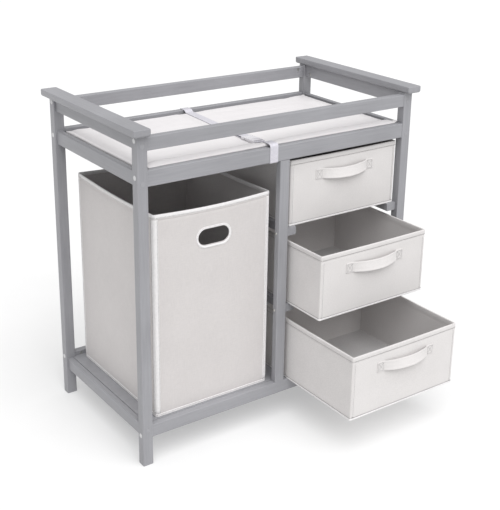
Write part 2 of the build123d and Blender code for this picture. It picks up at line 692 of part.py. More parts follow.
save("bottom_shelf", notched_panel(RAIL_Y_IN - 0.2, SHELF_TOP - SHELF_T, SHELF_TOP))
save("shelf_cleats", *[shelf_cleat(sy) for sy in SIDES])
save("changing_platform", notched_panel(RAIL_Y_IN + GROOVE - 0.5, PLATFORM[0] + 0.1, PLATFORM[1] - 0.1))
for level, top in (("upper", RUNNER_TOPS[0]), ("lower", RUNNER_TOPS[1])):
    for side in ("left", "right"):
        save(f"runner_{level}_{side}", runner(side, top))

joints = corner_joints()
save("connector_bolts", *[connector_bolt(sx, sy, axis, zs[0]) for sx, sy, axis, zs in joints])
save("barrel_nuts", *[barrel_nut(sx, sy, axis, zs[0]) for sx, sy, axis, zs in joints])
save("bolt_covers", *[bolt_cover(sx, sy, axis, zs[0]) for sx, sy, axis, zs in joints])
dowels = [joint_dowel(sx, sy, axis, zs[1]) for sx, sy, axis, zs in joints]
for sy in SIDES:
    dowels += [rod(line, (0, 0, 1), 2 * MID_DOWEL_L, DOWEL_R) for line in middle_dowel_lines(sy)]
    for sx in SIDES:
        foot = (sx * BOLT_X, sy * BOLT_Y, END_UPPER[1] - CAP_DOWEL)
        dowels.append(rod(foot, (0, 0, 1), CAP_DOWEL + CAP_DOWEL_UP, DOWEL_R))
save("wood_dowels", *dowels)
runner_screws = []
for z in RUNNER_SCREW_Z:
    for sy in SIDES:
        for x, way in ((-MID_X, 1), (X_OUT, -1)):
            runner_screws.append(wood_screw((x, sy * RUNNER_SCREW_Y, z), (way, 0, 0), RUNNER_SCREW_L))
save("runner_screws", *runner_screws)
cleat_lines = [cleat_screw_line(sy, x) for sy in SIDES for x in CLEAT_SCREW_X]
save("cleat_screws", *[wood_screw(start, way, CLEAT_SCREW_L) for start, way in cleat_lines])
save(
    "strap_screws",
    wood_screw((STRAP_X, -BOLT_Y, LOWER_RAIL[0] - STRAP_GAP - STRAP_T), (0, 0, 1), STRAP_SCREW_L),
    wood_screw((STRAP_BACK_X, RAIL_Y + STRAP_GAP + STRAP_T, STRAP_SCREW_Z), (0, -1, 0), STRAP_SCREW_L),
)
save("changing_pad", changing_pad())
save("strap_back", strap_back())
save("strap_front", strap_front())
save("buckle_socket", buckle_socket())
save("buckle_plug", buckle_plug())

for name in DRAWER_OUT:
    drawer = Drawer(name)
    save(f"drawer_{name}_bin", drawer.bin())
    save(f"drawer_{name}_base_board", drawer.base_board())
    save(f"drawer_{name}_binding", drawer.binding())
    save(f"drawer_{name}_handle", drawer.handle())

save("hamper_body", hamper_body())
save("hamper_base_board", hamper_board())
save("hamper_rim_binding", hamper_rim())
save("hamper_hem_band", hamper_hem())
save("hamper_corner_tapes", *hamper_corners())
save("hamper_grip", hamper_grip())
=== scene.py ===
"""Looks of the changing table: painted timber, fabric drawers and hamper, vinyl pad, webbing strap."""

import math

import bmesh
import bpy
from mathutils import Euler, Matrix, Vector, noise


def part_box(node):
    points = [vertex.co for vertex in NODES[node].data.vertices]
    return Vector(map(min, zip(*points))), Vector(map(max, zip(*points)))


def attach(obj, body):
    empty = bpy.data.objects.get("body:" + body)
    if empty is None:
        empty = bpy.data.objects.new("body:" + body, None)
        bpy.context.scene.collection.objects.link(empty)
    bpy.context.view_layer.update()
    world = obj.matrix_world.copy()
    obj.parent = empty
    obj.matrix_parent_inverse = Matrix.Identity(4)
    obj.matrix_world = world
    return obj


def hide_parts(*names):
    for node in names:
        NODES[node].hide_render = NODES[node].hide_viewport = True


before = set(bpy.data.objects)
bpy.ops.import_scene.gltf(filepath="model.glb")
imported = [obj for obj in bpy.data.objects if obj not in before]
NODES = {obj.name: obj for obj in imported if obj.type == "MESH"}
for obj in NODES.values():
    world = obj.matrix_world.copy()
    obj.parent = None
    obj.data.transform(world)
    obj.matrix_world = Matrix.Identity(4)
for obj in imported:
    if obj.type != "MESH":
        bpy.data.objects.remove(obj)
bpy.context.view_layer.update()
DRAWERS = ("top", "middle", "bottom")


# ---- materials -----------------------------------------------------------------------------------
class Shade:
    """A material under construction: nodes are added by type and linked by socket name."""

    def __init__(self, name, roughness, specular=0.5, **constants):
        self.mat = bpy.data.materials.new(name)
        self.mat.use_nodes = True
        self.tree = self.mat.node_tree
        self.shader = self.tree.nodes["Principled BSDF"]
        self.shader.inputs["Roughness"].default_value = roughness
        self.shader.inputs["Specular IOR Level"].default_value = specular
        for socket, value in constants.items():
            self.shader.inputs[socket.replace("_", " ")].default_value = value
        self.place = self.add("ShaderNodeTexCoord").outputs["Object"]

    def add(self, kind, **settings):
        node = self.tree.nodes.new(kind)
        for key, value in settings.items():
            setattr(node, key, value)
        return node

    def link(self, source, target):
        self.tree.links.new(source, target)

    def scaled(self, scale, source=None):
        """Coordinates stretched by (x, y, z)."""
        mapping = self.add("ShaderNodeMapping")
        mapping.inputs["Scale"].default_value = scale
        self.link(source or self.place, mapping.inputs["Vector"])
        return mapping.outputs["Vector"]

    def noise(self, scale, detail=3.0, stretch=(1, 1, 1), rough=0.5):
        tex = self.add("ShaderNodeTexNoise")
        tex.inputs["Scale"].default_value = scale
        tex.inputs["Detail"].default_value = detail
        tex.inputs["Roughness"].default_value = rough
        self.link(self.scaled(stretch), tex.inputs["Vector"])
        return tex.outputs["Fac"]

    def axes(self):
        split = self.add("ShaderNodeSeparateXYZ")
        self.link(self.place, split.inputs["Vector"])
        return split.outputs

    def math(self, operation, a, b=None):
        node = self.add("ShaderNodeMath", operation=operation)
        for socket, value in zip(node.inputs, (a, b)):
            if value is None:
                continue
            if isinstance(value, (int, float)):
                socket.default_value = value
            else:
                self.link(value, socket)
        return node.outputs["Value"]

    def spread(self, source, low, high, new_low, new_high):
        """A value mapped from one range to another, clamped."""
        node = self.add("ShaderNodeMapRange")
        for socket, value in zip(node.inputs[1:5], (low, high, new_low, new_high)):
            socket.default_value = value
        self.link(source, node.inputs["Value"])
        return node.outputs["Result"]

    def blend(self, factor, dark, light):
        node = self.add("ShaderNodeMix", data_type="RGBA")
        self.link(factor, node.inputs["Factor"])
        for socket, colour in ((node.inputs["A"], dark), (node.inputs["B"], light)):
            if isinstance(colour, tuple):
                socket.default_value = (*colour, 1.0)
            else:
                self.link(colour, socket)
        return node.outputs["Result"]

    def colour(self, source):
        self.link(source, self.shader.inputs["Base Color"])

    def tint(self, source, low, high, colour, dark, light=1.0):
        """Base colour between two shades of one colour, by a value that runs from low to high."""
        shades = [tuple(min(c * share, 1) for c in colour) for share in (dark, light)]
        self.colour(self.blend(self.spread(source, low, high, 0, 1), *shades))

    def roughness(self, source):
        self.link(source, self.shader.inputs["Roughness"])

    def bump(self, height, strength, distance, under=None):
        node = self.add("ShaderNodeBump")
        node.inputs["Strength"].default_value = strength
        node.inputs["Distance"].default_value = distance
        self.link(height, node.inputs["Height"])
        if under:
            self.link(under, node.inputs["Normal"])
        self.link(node.outputs["Normal"], self.shader.inputs["Normal"])
        return node.outputs["Normal"]


def srgb(*levels):
    """A colour given in 8-bit display levels, as linear light."""
    return tuple(
        (v / 255 / 12.92) if v / 255 <= 0.04045 else ((v / 255 + 0.055) / 1.055) ** 2.4 for v in levels
    )


PAINT = srgb(145, 145, 149)


def paint(name, grain, colour=PAINT):
    """Satin paint over planed timber: faint grain along one axis, brush drag and softly varied sheen."""
    stretch = {"x": (1, 22, 22), "y": (22, 1, 22), "z": (22, 22, 1), "panel": (3, 12, 3)}[grain]
    m = Shade(name, 0.42, 0.45, Coat_Weight=0.08, Coat_Roughness=0.3)
    streak = m.noise(9, 5, stretch, 0.6)
    fine = m.noise(42, 4, stretch, 0.65)
    cloud = m.noise(5, 3)
    tone = m.math("ADD", m.math("MULTIPLY", streak, 0.5), m.math("MULTIPLY", cloud, 0.5))
    m.tint(tone, 0.36, 0.64, colour, 0.90, 1.08)
    m.roughness(m.spread(fine, 0.3, 0.7, 0.36, 0.5))
    height = m.math("ADD", m.math("MULTIPLY", streak, 0.6), m.math("MULTIPLY", fine, 0.4))
    under = m.bump(height, 0.35, 0.0007)
    m.bump(m.noise(900, 2), 0.12, 0.0002, under)
    return m.mat


def cloth(name, colour, pitch=0.0009, slub=0.8, fuzz=0.3, contrast=0.07):
    """Woven cloth: crossing threads, uneven yarn and a soft sheen."""
    m = Shade(name, 0.9, 0.2, Sheen_Weight=fuzz, Sheen_Roughness=0.5)
    axes = m.axes()
    along = m.math("ADD", axes["X"], axes["Y"])
    turns = 2 * math.pi / pitch
    warp = m.math("SINE", m.math("MULTIPLY", along, turns))
    weft = m.math("SINE", m.math("MULTIPLY", axes["Z"], turns))
    weave = m.math("MULTIPLY", warp, weft)
    yarn_up = m.noise(60, 3, (14, 14, 1))
    yarn_across = m.noise(60, 3, (1, 1, 14))
    yarn = m.math("ADD", m.math("MULTIPLY", yarn_up, 0.5), m.math("MULTIPLY", yarn_across, 0.5))
    cloud = m.noise(9, 3)
    tone = m.math("ADD", m.math("MULTIPLY", yarn, slub), m.math("MULTIPLY", cloud, 1 - slub))
    m.tint(tone, 0.38, 0.62, colour, 1 - contrast, 1 + contrast * 0.5)
    under = m.bump(yarn, 0.35, 0.0006)
    m.bump(weave, 0.3, 0.00025, under)
    return m.mat


def felted(name, colour, contrast=0.07):
    """Non-woven cloth with a fine embossed dimple and matted fibres."""
    m = Shade(name, 0.88, 0.22, Sheen_Weight=0.3, Sheen_Roughness=0.5)
    dimples = m.add("ShaderNodeTexVoronoi", distance="EUCLIDEAN")
    dimples.inputs["Scale"].default_value = 520
    m.link(m.place, dimples.inputs["Vector"])
    fibre = m.noise(260, 4, (1, 1, 3))
    cloud = m.noise(14, 4)
    tone = m.math("ADD", m.math("MULTIPLY", fibre, 0.75), m.math("MULTIPLY", cloud, 0.25))
    m.tint(tone, 0.38, 0.62, colour, 1 - contrast, 1 + contrast * 0.5)
    under = m.bump(dimples.outputs["Distance"], 0.25, 0.0004)
    m.bump(fibre, 0.25, 0.0004, under)
    return m.mat


def tape(name, colour):
    """Woven tape: close ribs across it and a slightly silky face."""
    m = Shade(name, 0.7, 0.3, Sheen_Weight=0.4, Sheen_Roughness=0.4)
    axes = m.axes()
    along = m.math("ADD", axes["X"], m.math("ADD", axes["Y"], axes["Z"]))
    ribs = m.math("SINE", m.math("MULTIPLY", along, 2 * math.pi / 0.0011))
    fleck = m.noise(180, 3)
    m.tint(fleck, 0.35, 0.65, colour, 0.93)
    under = m.bump(ribs, 0.35, 0.0003)
    m.bump(fleck, 0.2, 0.0003, under)
    return m.mat


def webbing_look(name, colour):
    """Strap webbing: close crosswise ribs along its length, and uneven yarn."""
    m = Shade(name, 0.62, 0.35, Sheen_Weight=0.35, Sheen_Roughness=0.4)
    axes = m.axes()
    along = m.math("SUBTRACT", axes["Y"], axes["Z"])
    ribs = m.math("SINE", m.math("MULTIPLY", along, 2 * math.pi / 0.0018))
    fleck = m.noise(150, 3)
    m.tint(fleck, 0.35, 0.65, colour, 0.92)
    m.bump(ribs, 0.4, 0.0004)
    return m.mat


def vinyl(name, colour):
    """Soft wipe-clean vinyl: fine pebble grain over faint creases."""
    m = Shade(name, 0.42, 0.45, Coat_Weight=0.12, Coat_Roughness=0.35)
    pebble = m.add("ShaderNodeTexVoronoi", feature="SMOOTH_F1")
    pebble.inputs["Scale"].default_value = 650
    m.link(m.place, pebble.inputs["Vector"])
    crease = m.noise(22, 5, (1, 2, 1), 0.6)
    cloud = m.noise(6, 3)
    m.tint(cloud, 0.35, 0.65, colour, 0.97)
    m.roughness(m.spread(crease, 0.3, 0.7, 0.36, 0.5))
    under = m.bump(crease, 0.18, 0.0012)
    m.bump(pebble.outputs["Distance"], 0.18, 0.0003, under)
    return m.mat


def plastic(name, colour, roughness=0.3):
    """Injection-moulded plastic with a fine spark texture."""
    m = Shade(name, roughness, 0.5)
    fine = m.noise(420, 2)
    cloud = m.noise(40, 2)
    m.tint(cloud, 0.35, 0.65, colour, 0.95)
    m.roughness(m.spread(fine, 0.3, 0.7, roughness * 0.85, roughness * 1.2))
    m.bump(fine, 0.08, 0.0002)
    return m.mat


def cover_plastic(name, front, side, face):
    """Moulded caps: painted-in plugs on the front and back, paler ones on the sides, at |x| = face."""
    m = Shade(name, 0.38, 0.5)
    axes = m.axes()
    on_side = m.spread(m.math("ABSOLUTE", axes["X"]), face - 0.0002, face, 0, 1)
    fine = m.noise(420, 2)
    tint = m.spread(fine, 0.35, 0.65, 0, 1)
    painted = m.blend(tint, tuple(c * 0.95 for c in front), front)
    m.colour(m.blend(on_side, painted, m.blend(tint, tuple(c * 0.95 for c in side), side)))
    m.roughness(m.spread(fine, 0.3, 0.7, 0.32, 0.46))
    m.bump(fine, 0.08, 0.0002)
    return m.mat


def metal(name, colour, roughness=0.34):
    """Zinc-plated steel: cloudy passivation and turned marks."""
    m = Shade(name, roughness, 0.5, Metallic=1.0)
    cloud = m.noise(160, 4)
    m.tint(cloud, 0.35, 0.65, colour, 0.8)
    m.roughness(m.spread(m.noise(500, 3), 0.3, 0.7, roughness * 0.8, roughness * 1.3))
    m.bump(m.noise(900, 2), 0.1, 0.0001)
    return m.mat


def raw_wood(name, colour):
    """Bare beech: short dark flecks along the grain."""
    m = Shade(name, 0.65, 0.3)
    fleck = m.noise(300, 3, (1, 1, 1))
    m.tint(fleck, 0.4, 0.6, colour, 0.75)
    m.bump(fleck, 0.2, 0.0002)
    return m.mat


PAINTS = {grain: paint(f"grey_paint_{grain}", grain) for grain in ("x", "y", "z", "panel")}
HAMPER_CLOTH = cloth("hamper_cloth", srgb(200, 196, 195))
DRAWER_CLOTH = felted("drawer_cloth", srgb(207, 204, 203))
BINDING = tape("white_binding_tape", srgb(232, 230, 230))
# dark grey thread: painted shade of the stitch dimples and of the seam gap beside the bindings
PAINTED_SHADE_THREAD = tape("thread_painted_shade", srgb(118, 115, 115))
STRAP_THREAD = tape("strap_thread", srgb(236, 234, 236))
WEBBING = webbing_look("strap_webbing", srgb(203, 201, 209))
VINYL = vinyl("pad_vinyl", srgb(222, 219, 220))
BUCKLE = plastic("buckle_plastic", srgb(216, 214, 218), 0.28)
POST_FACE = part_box("post_front_right")[1].x
COVER = cover_plastic("cover_plastic", srgb(149, 149, 153), srgb(205, 205, 206), POST_FACE)
ZINC = metal("zinc_steel", srgb(205, 205, 200))
BOARD = felted("board_cloth", srgb(196, 194, 194))
BEECH = raw_wood("beech", srgb(214, 184, 140))


def dress(node, material, smooth_below=35.0):
    """A CAD node keeps its shape and gets a finished material, with smooth rounds and crisp flats."""
    obj = NODES[node]
    obj.data.materials.clear()
    obj.data.materials.append(material)
    obj.data.polygons.foreach_set("use_smooth", [True] * len(obj.data.polygons))
    obj.data.set_sharp_from_angle(angle=math.radians(smooth_below))


def grain_of(node):
    """The axis along which a timber piece's grain runs: its longest side."""
    low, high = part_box(node)
    size = [high[i] - low[i] for i in range(3)]
    return "xyz"[size.index(max(size))]


TIMBER = ("post_", "cap_", "end_rail_", "rail_", "middle_post_", "runner_")
for node_name in NODES:
    if node_name.endswith("_screws"):
        dress(node_name, ZINC)
    elif node_name.startswith(TIMBER):
        dress(node_name, PAINTS[grain_of(node_name)])
for node_name in ("bottom_shelf", "changing_platform", "shelf_cleats"):
    dress(node_name, PAINTS["panel"])
for node_name, material in (
    ("connector_bolts", ZINC),
    ("barrel_nuts", ZINC),
    ("bolt_covers", COVER),
    ("wood_dowels", BEECH),
    ("buckle_socket", BUCKLE),
    ("buckle_plug", BUCKLE),
):
    dress(node_name, material)


# ---- mesh helpers --------------------------------------------------------------------------------
def build(name, verts, faces, material, smooth=True):
    """A mesh object from points and faces."""
    mesh = bpy.data.meshes.new(name)
    mesh.from_pydata([tuple(v) for v in verts], [], faces)
    mesh.validate()
    mesh.update()
    obj = bpy.data.objects.new(name, mesh)
    bpy.context.scene.collection.objects.link(obj)
    mesh.materials.append(material)
    mesh.polygons.foreach_set("use_smooth", [smooth] * len(mesh.polygons))
    return obj


def outward(obj):
    """Turns every face of a closed mesh to look outwards."""
    bm = bmesh.new()
    bm.from_mesh(obj.data)
    bmesh.ops.recalc_face_normals(bm, faces=bm.faces)
    bm.to_mesh(obj.data)
    bm.free()
    return obj


def ring_faces(rows, around, first=0, last_to_first=False):
    """Quads between successive closed rings of points."""
    faces = []
    count = rows if last_to_first else rows - 1
    for r in range(count):
        low, high = first + r * around, first + ((r + 1) % rows) * around
        for i in range(around):
            j = (i + 1) % around
            faces.append((low + i, low + j, high + j, high + i))
    return faces


def settle(obj, body, slot, *stands_for):
    """Puts a finished piece on its body and hides the CAD nodes it stands for; slot is not used."""
    outward(obj)
    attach(obj, body)
    if stands_for:
        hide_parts(*stands_for)
    return obj


def bake(obj):
    """Applies an object's modifiers to its mesh."""
    depsgraph = bpy.context.evaluated_depsgraph_get()
    mesh = bpy.data.meshes.new_from_object(obj.evaluated_get(depsgraph))
    obj.modifiers.clear()
    obj.data = mesh


# ---- stiffened fabric boxes ----------------------------------------------------------------------
class FabricBox:
    """The walls of a sewn box: an upright rounded rectangle whose panels belly and ripple a little."""

    def __init__(self, low, high, radius, belly, sag, ripple, seed):
        self.low, self.high = Vector(low), Vector(high)
        self.radius, self.belly, self.sag, self.ripple, self.seed = radius, belly, sag, ripple, seed
        width, depth = self.high.x - self.low.x, self.high.y - self.low.y
        arc = math.pi / 2 * radius
        self.runs = [width - 2 * radius, arc, depth - 2 * radius, arc] * 2
        self.length = sum(self.runs)

    def stations(self, step):
        """Places along the outline: evenly along each panel, and six to a corner."""
        places, start = [], 0.0
        for index, run in enumerate(self.runs):
            count = 6 if index % 2 else max(2, round(run / step))
            places += [start + run * i / count for i in range(count)]
            start += run
        return places

    def outline(self, u):
        """Point, outward normal and place along its panel (0 to 1, or None in a corner)."""
        r, low, high = self.radius, self.low, self.high
        corners = [
            ((high.x - r, low.y + r), -90),
            ((high.x - r, high.y - r), 0),
            ((low.x + r, high.y - r), 90),
            ((low.x + r, low.y + r), 180),
        ]
        starts = [(low.x + r, low.y), (high.x, low.y + r), (high.x - r, high.y), (low.x, high.y - r)]
        ways = [(1, 0), (0, 1), (-1, 0), (0, -1)]
        u = u % self.length
        for index, run in enumerate(self.runs):
            if u <= run or index == 7:
                break
            u -= run
        side = index // 2
        if index % 2:
            (cx, cy), angle = corners[side]
            a = math.radians(angle + 90 * u / run)
            normal = Vector((math.cos(a), math.sin(a), 0))
            return Vector((cx, cy, 0)) + normal * r, normal, None
        (sx, sy), (wx, wy) = starts[side], ways[side]
        return Vector((sx + wx * u, sy + wy * u, 0)), Vector((wy, -wx, 0)), u / run

    def normal(self, u):
        return self.outline(u)[1]

    def point(self, u, z, out=0.0):
        """A point on the wall at height z, moved out of (or, below zero, into) the cloth."""
        base, normal, along = self.outline(u)
        v = min(max((z - self.low.z) / (self.high.z - self.low.z), 0), 1)
        swell = math.sin(math.pi * along) if along is not None else 0.0
        where = Vector((base.x * 7, base.y * 7, z * 7 + self.seed))
        ripple = noise.noise(where) * self.ripple * math.sin(math.pi * min(v * 1.1, 1)) ** 0.5
        shift = self.belly * swell * math.sin(math.pi * v) ** 0.7 + ripple * (0.3 + 0.7 * swell)
        droop = self.sag * swell * v**3 + 0.4 * ripple * v**3
        return Vector((base.x, base.y, z - droop)) + normal * (out + shift)

    def loft(self, name, profile, material, step=0.006, closed=False):
        """A skin through profile points (out, z) taken round the outline."""
        places = self.stations(step)
        verts = [self.point(u, z, out) for out, z in profile for u in places]
        faces = ring_faces(len(profile), len(places), 0, closed)
        if not closed:
            last = (len(profile) - 1) * len(places)
            faces.append(tuple(reversed(range(len(places)))))
            faces.append(tuple(range(last, last + len(places))))
        return build(name, verts, faces, material)


def wall_profile(low, high, wall, hem, pitch):
    """Profile of a one-piece box: outside wall with a folded hem, round rim and inside wall."""
    points = [(-0.0012, low), (-0.0003, low + 0.0003), (0.0, low + 0.0014)]
    fold = high - hem
    count = round((fold - low) / pitch)
    points += [(0.0, low + (fold - low) * i / count) for i in range(1, count)]
    points += [(0.0, fold - 0.0012), (-0.0004, fold - 0.0002), (0.0004, fold + 0.0005)]
    points += [(0.0007, fold + 0.002), (0.0007, high - 0.005), (0.0006, high - 0.0018)]
    points += [(0.0, high - 0.0005), (-wall / 2, high)]
    points += [(-wall, high - 0.0006), (-wall - 0.0004, high - 0.002), (-wall - 0.0004, fold)]
    points += [(-wall, fold - 0.0015)]
    points += [(-wall, fold - (fold - low - wall) * i / count) for i in range(1, count + 1)]
    return points


def band_profile(inner, outer, low, high, ease=0.0004):
    """Closed section of a flat band with eased edges."""
    middle = [low + (high - low) * i / 4 for i in range(1, 4)]
    section = [(inner, low), (outer - ease, low), (outer, low + ease)]
    section += [(outer, z) for z in middle]
    section += [(outer, high - ease), (outer - ease, high), (inner, high)]
    section += [(inner, z) for z in reversed(middle)]
    return section


def stitches(name, path, spacing, length, radius, material):
    """A row of short raised stitches. path(t) gives a point and the surface normal for t in metres."""
    points_at, total = path
    verts, faces = [], []
    for index in range(int(total / spacing)):
        t = index * spacing
        start, normal = points_at(t)
        end, _ = points_at(t + length)
        way = (end - start).normalized()
        side = way.cross(normal).normalized() * radius
        lift = normal * radius
        middle = (start + end) / 2 + lift * 0.5
        base = len(verts)
        verts += [start, middle + side, middle + lift, middle - side, end, middle - lift * 1.2]
        faces += [(base, base + 1, base + 2), (base, base + 2, base + 3), (base + 4, base + 2, base + 1)]
        faces += [(base + 4, base + 3, base + 2), (base, base + 5, base + 1), (base, base + 3, base + 5)]
        faces += [(base + 4, base + 1, base + 5), (base + 4, base + 5, base + 3)]
    return build(name, verts, faces, material, smooth=False)


def join(name, pieces):
    """Several meshes as one object."""
    verts, faces = [], []
    for piece in pieces:
        base = len(verts)
        verts += [v.co.copy() for v in piece.data.vertices]
        faces += [tuple(base + i for i in p.vertices) for p in piece.data.polygons]
    material = pieces[0].data.materials[0]
    smooth = pieces[0].data.polygons[0].use_smooth
    for piece in pieces:
        bpy.data.objects.remove(piece)
    return build(name, verts, faces, material, smooth)


# ---- fabric drawers ------------------------------------------------------------------------------
def slab_on_wall(box, name, u_range, z_range, thickness, material, sink=0.0012, steps=(0.004, 0.008)):
    """A thin strip of cloth laid on a box's wall, with rolled edges, following the wall's ripples."""
    (u0, u1), (z0, z1) = u_range, z_range
    nu = max(3, round((u1 - u0) / steps[0]))
    nz = max(3, round((z1 - z0) / steps[1]))
    verts, faces = [], []
    for layer in (1, 0):
        for i in range(nz + 1):
            for j in range(nu + 1):
                edge = i in (0, nz) or j in (0, nu)
                lift = thickness * (0.35 if edge else 1.0) if layer else -sink
                verts.append(box.point(u0 + (u1 - u0) * j / nu, z0 + (z1 - z0) * i / nz, lift))
    row = nu + 1
    back = (nz + 1) * row
    for i in range(nz):
        for j in range(nu):
            a = i * row + j
            faces.append((a, a + 1, a + row + 1, a + row))
            faces.append((back + a, back + a + row, back + a + row + 1, back + a + 1))
    rim = [j for j in range(nu)] + [i * row + nu for i in range(nz)]
    rim += [nz * row + j for j in range(nu, 0, -1)] + [i * row for i in range(nz, 0, -1)]
    for a, b in zip(rim, rim[1:] + rim[:1]):
        faces.append((a, back + a, back + b, b))
    return build(name, verts, faces, material)


def wall_row(box, u_range, z, out, along_z=None):
    """Stitch path on a wall: round it at height z, or up it at u when along_z is given."""
    if along_z:
        z0, z1 = along_z

        def place(t):
            return box.point(u_range, z0 + t, out), box.normal(u_range)

        return place, z1 - z0
    u0, u1 = u_range

    def place(t):
        return box.point(u0 + t, z, out), box.normal(u0 + t)

    return place, u1 - u0


def line_row(start, end, normal):
    """Stitch path along a straight line."""
    start, end = Vector(start), Vector(end)
    total = (end - start).length

    def place(t):
        return start.lerp(end, t / total), Vector(normal)

    return place, total


def strap_section(width, thick):
    """Section (across, out) of a folded cloth strap: thin middle, thicker rolled edges."""
    half, t = width / 2, thick / 2
    edge = [(0.0006, t * 0.9), (0.002, t), (0.0045, t), (0.006, t * 0.72)]
    upper = [(-half + inset, o) for inset, o in edge]
    upper += [(-half * 0.3, t * 0.85), (half * 0.3, t * 0.85)]
    upper += [(half - inset, o) for inset, o in reversed(edge)]
    lower = [(a, -o) for a, o in reversed(upper)]
    return upper + [(half, 0.0)] + lower + [(-half, 0.0)]


def sweep_strip(name, stations, section, material):
    """A strip through stations (place, across, out), closed at both ends."""
    verts = []
    for place, across, out in stations:
        verts += [place + across * a + out * o for a, o in section]
    around = len(section)
    faces = ring_faces(len(stations), around)
    faces.append(tuple(reversed(range(around))))
    last = (len(stations) - 1) * around
    faces.append(tuple(range(last, last + around)))
    return build(name, verts, faces, material)


LIFT = 0.0005  # under a sewn box, above the wood that carries it
DRAWER_WALL = 0.0035
DRAWER_HEM = 0.015
SEAM_W = 0.006  # felled seam beside each front corner of a drawer
# stitches: from one to the next, length, half their width
PATCH_STITCH = (0.0031, 0.0026, 0.00045)
HEM_STITCH = (0.0034, 0.0030, 0.0008)
FOOT_STITCH = (0.0034, 0.0032, 0.0009)
SEAM_STITCH = (0.0034, 0.0028, 0.0004)
HANDLE_PATCH = 0.025
HANDLE_TILT = 0.30  # how far the loop's lower edge leans out, in radians


def drawer_handle(name, body):
    """A folded cloth strap: a stitched patch at each end, and a loop that bows out and droops."""
    low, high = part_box(f"drawer_{name}_handle")
    half = (high.x - low.x) / 2
    middle, centre, face = (low.x + high.x) / 2, (low.z + high.z) / 2, high.y
    height = high.z - low.z
    bow, thick = high.y - low.y, 0.0024
    loop = half - HANDLE_PATCH
    stations = []
    spans = [-half + i * 0.003 for i in range(9)] + [-loop + 2 * loop * i / 44 for i in range(45)]
    spans += [loop + HANDLE_PATCH * i / 8 for i in range(1, 9)]
    for s in spans:
        along = (s + loop) / (2 * loop)
        if 0 < along < 1:
            arch = math.sin(math.pi * along**1.25) ** 0.45
            out = thick / 2 + (bow - thick) * arch
            droop = 0.0055 * math.sin(math.pi * along) ** 1.2
            tilt = HANDLE_TILT * math.sin(math.pi * along)
            wave = 0.0007 * math.sin(11 * along) * math.sin(math.pi * along)
        else:
            out, droop, tilt, wave = thick / 2, 0.0, 0.0, 0.0
        place = Vector((middle + s, face - out - wave, centre - droop))
        across = Vector((0, math.sin(tilt), math.cos(tilt)))
        stations.append([place, across, None])
    for i, station in enumerate(stations):
        before, after = stations[max(i - 1, 0)][0], stations[min(i + 1, len(stations) - 1)][0]
        station[2] = (after - before).cross(station[1]).normalized()
    section = strap_section(height, thick)
    strap = sweep_strip(f"drawer_{name}_handle_strap", stations, section, DRAWER_CLOTH)
    settle(strap, body, "handle_fabric", f"drawer_{name}_handle")
    rows = []
    inset = 0.0035
    out = face - thick - 0.0001
    for side in (-1, 1):
        x_in, x_out = middle + side * (loop + inset), middle + side * (half - inset)
        z_in, z_out = centre - height / 2 + inset, centre + height / 2 - inset
        corners = [(x_in, z_in), (x_out, z_in), (x_out, z_out), (x_in, z_out)]
        lines = list(zip(corners, corners[1:] + corners[:1]))
        lines += [(corners[0], corners[2]), (corners[1], corners[3])]
        for (xa, za), (xb, zb) in lines:
            row = line_row((xa, out, za), (xb, out, zb), (0, -1, 0))
            rows.append(stitches("row", row, *PATCH_STITCH, PAINTED_SHADE_THREAD))
    return rows


def drawer(name):
    """One drawer: stiff cloth box with a hem, felled corner seams, foot binding and strap handle."""
    body = f"drawer_{name}"
    low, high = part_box(f"drawer_{name}_bin")
    box = FabricBox(low, high, 0.004, 0.0014, 0.0012, 0.0007, 3.0 * DRAWERS.index(name))
    profile = wall_profile(low.z + LIFT, high.z, DRAWER_WALL, DRAWER_HEM, 0.009)
    shell = box.loft(f"drawer_{name}_shell", profile, DRAWER_CLOTH)
    settle(shell, body, "drawer_fabric", f"drawer_{name}_bin")

    foot_low, foot_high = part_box(f"drawer_{name}_binding")
    tape_top = foot_high.z - foot_low.z
    over = foot_high.x - high.x + 0.0003
    profile = band_profile(-0.001, over, low.z + 0.0002, low.z + tape_top, 0.0008)
    binding = box.loft(f"drawer_{name}_foot_tape", profile, BINDING, closed=True)
    settle(binding, body, "white_binding", f"drawer_{name}_binding")

    front_run = box.runs[0]
    seams = []
    for index, (u0, u1) in enumerate(((0.0, SEAM_W), (front_run - SEAM_W, front_run))):
        zs = (low.z + tape_top - 0.001, high.z - DRAWER_HEM - 0.0005)
        seams.append(slab_on_wall(box, f"seam_{index}", (u0, u1), zs, 0.0006, DRAWER_CLOTH))
    settle(join(f"drawer_{name}_corner_seams", seams), body, "drawer_fabric")

    rows = drawer_handle(name, body)
    hem = wall_row(box, (0, box.length), high.z - 0.0125, 0.0008)
    rows.append(stitches("row", hem, *HEM_STITCH, PAINTED_SHADE_THREAD))
    foot = wall_row(box, (0, box.length), low.z + tape_top + 0.0008, 0.0004)
    rows.append(stitches("row", foot, *FOOT_STITCH, PAINTED_SHADE_THREAD))
    for u in (SEAM_W - 0.0012, front_run - SEAM_W + 0.0012):
        up = wall_row(box, u, 0, 0.0006, along_z=(low.z + tape_top + 0.002, high.z - 0.017))
        rows.append(stitches("row", up, *SEAM_STITCH, PAINTED_SHADE_THREAD))
    settle(join(f"drawer_{name}_stitching", rows), body, "white_binding")
    dress(f"drawer_{name}_base_board", BOARD)


# ---- laundry hamper ------------------------------------------------------------------------------
def stadium(width, height, count=40):
    """Points of a stadium outline about the origin."""
    r, straight = height / 2, (width - height) / 2
    points = []
    for side, start in ((1, -90), (-1, 90)):
        for i in range(count // 2 + 1):
            a = math.radians(start + 180 * i / (count // 2))
            points.append((side * straight + r * math.cos(a), r * math.sin(a)))
    return points


HAMPER_WALL = 0.003
HAMPER_R = 0.008  # upright corners
CORNER_BAND = 0.013
GRIP_RIM = 0.006  # width of the binding round the hand hole
BAND_STITCH = (0.0038, 0.0032, 0.0006)
GRIP_STITCH = (0.0038, 0.0029, 0.0004)


